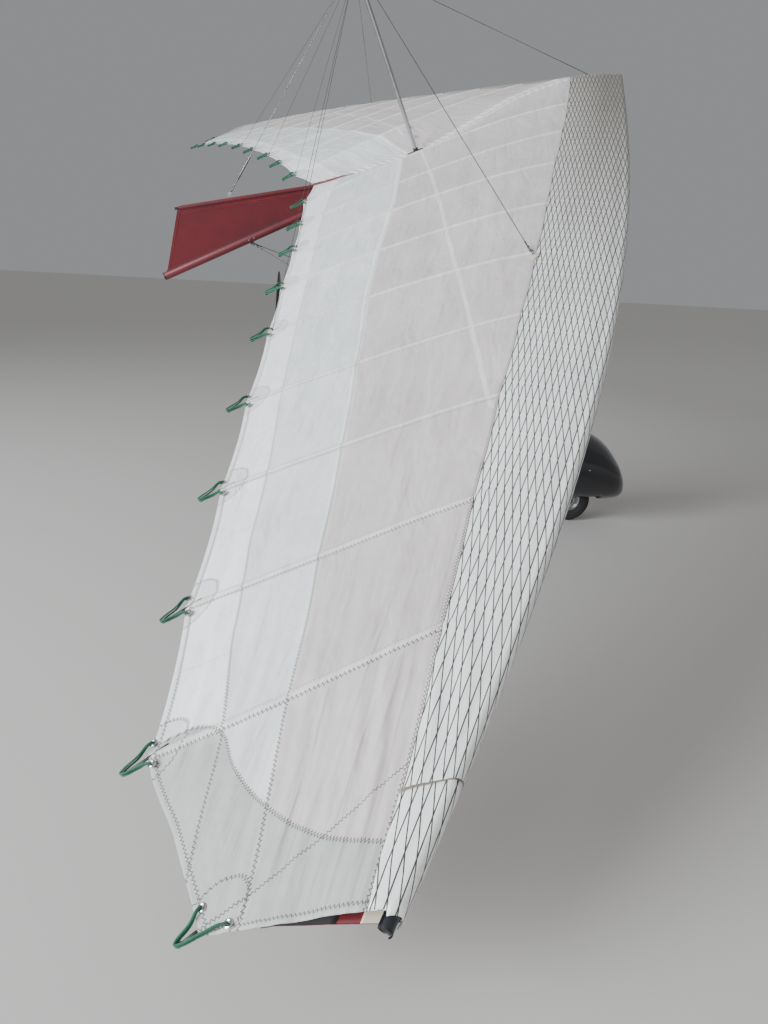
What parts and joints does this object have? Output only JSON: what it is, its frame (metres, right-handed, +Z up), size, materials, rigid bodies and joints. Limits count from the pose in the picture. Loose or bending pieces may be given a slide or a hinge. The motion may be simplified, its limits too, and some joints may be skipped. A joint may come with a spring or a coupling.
{
  "type": "flexwing microlight trike, two-seat",
  "caption": "Two-seat flexwing microlight: fabric wing on a three-wheeled trike with a rear propeller, parked nose-up and banked; wheels, propeller, steering and wing turn.",
  "frame": {"origin": "on the ground, under the middle of the whole machine's bounding box", "axes": "+X forward, +Y to the left wing tip, +Z up"},
  "size_m": [4.0269, 9.4766, 3.6443],
  "materials": {
    "sail": "satin",
    "fin": "satin",
    "spar_alloy": "anodised",
    "bright_alloy": "satin",
    "stay_wire": "stranded",
    "frame_paint": "satin powder coat",
    "steel_fitting": "satin",
    "tyre": "matte",
    "wheel_alloy": "cast",
    "pod_gloss": "gloss",
    "engine_metal": "cast",
    "exhaust_steel": "heat tinted",
    "radiator_core": "matte",
    "propeller": "carbon, lacquered",
    "seat_cloth": "woven",
    "tank_plastic": "moulded",
    "panel_plastic": "grained",
    "screen": "clear"
  },
  "bodies": {
    "trike": {"base_beam": "frame_paint", "mast": "frame_paint", "front_strut": "frame_paint", "main_arm_left": "frame_paint", "main_arm_right": "frame_paint", "drag_strut_left": "frame_paint", "drag_strut_right": "frame_paint", "engine_bed": "frame_paint", "seat_frame": "frame_paint", "spring_strut_left": "steel_fitting", "spring_strut_right": "steel_fitting", "pod": "pod_gloss", "spat_left": "pod_gloss", "spat_right": "pod_gloss", "engine": "engine_metal", "gearbox": "engine_metal", "exhaust": "exhaust_steel", "radiator": "radiator_core", "front_seat": "seat_cloth", "rear_seat": "seat_cloth", "fuel_tank": "tank_plastic", "instrument_panel": "panel_plastic", "windscreen": "screen"},
    "nose_fork": {"nose_fork": "frame_paint"},
    "nose_wheel": {"nose_tyre": "tyre", "nose_hub": "wheel_alloy"},
    "main_wheel_left": {"main_tyre_left": "tyre", "main_hub_left": "wheel_alloy"},
    "main_wheel_right": {"main_tyre_right": "tyre", "main_hub_right": "wheel_alloy"},
    "propeller": {"propeller": "propeller"},
    "hang_bracket": {"hang_bracket": "steel_fitting"},
    "wing": {"sail_left": "sail", "sail_right": "sail", "keel_fin": "fin", "edge_tube_left": "spar_alloy", "edge_tube_right": "spar_alloy", "keel_tube": "spar_alloy", "kingpost": "bright_alloy", "base_bar": "bright_alloy", "upright_left": "bright_alloy", "upright_right": "bright_alloy", "upper_side_wire_left": "stay_wire", "upper_side_wire_right": "stay_wire", "upper_front_wire": "stay_wire", "upper_rear_wire": "stay_wire", "lower_side_wire_left": "stay_wire", "lower_side_wire_right": "stay_wire", "lower_front_wire_left": "stay_wire", "lower_front_wire_right": "stay_wire", "lower_rear_wire_left": "stay_wire", "lower_rear_wire_right": "stay_wire"}
  },
  "joints": [
    {"name": "steering", "type": "hinge", "parent": "trike", "child": "nose_fork", "pos_m": [1.5913, -0.0413, 0.17], "axis": [-0.2079, 0, 0.9781], "range_deg": [-25, 25]},
    {"name": "nose_wheel_spin", "type": "hinge", "parent": "nose_fork", "child": "nose_wheel", "pos_m": [1.5913, -0.0413, 0.17], "axis": [0, 1, 0], "continuous": true},
    {"name": "main_wheel_left_spin", "type": "hinge", "parent": "trike", "child": "main_wheel_left", "pos_m": [-0.1817, 0.8087, 0.2], "axis": [0, 1, 0], "continuous": true},
    {"name": "main_wheel_right_spin", "type": "hinge", "parent": "trike", "child": "main_wheel_right", "pos_m": [-0.1817, -0.8913, 0.2], "axis": [0, 1, 0], "continuous": true},
    {"name": "propeller_spin", "type": "hinge", "parent": "trike", "child": "propeller", "pos_m": [-0.7067, -0.0413, 1], "axis": [1, 0, 0], "continuous": true},
    {"name": "wing_pitch", "type": "hinge", "parent": "trike", "child": "hang_bracket", "pos_m": [0.2235, -0.0413, 2.46028], "axis": [0, 1, 0], "range_deg": [0, 20]},
    {"name": "wing_roll", "type": "hinge", "parent": "hang_bracket", "child": "wing", "pos_m": [0.2483, -0.0413, 2.552], "axis": [0.9018, 0, 0.4321], "range_deg": [-40, 0]}
  ]
}
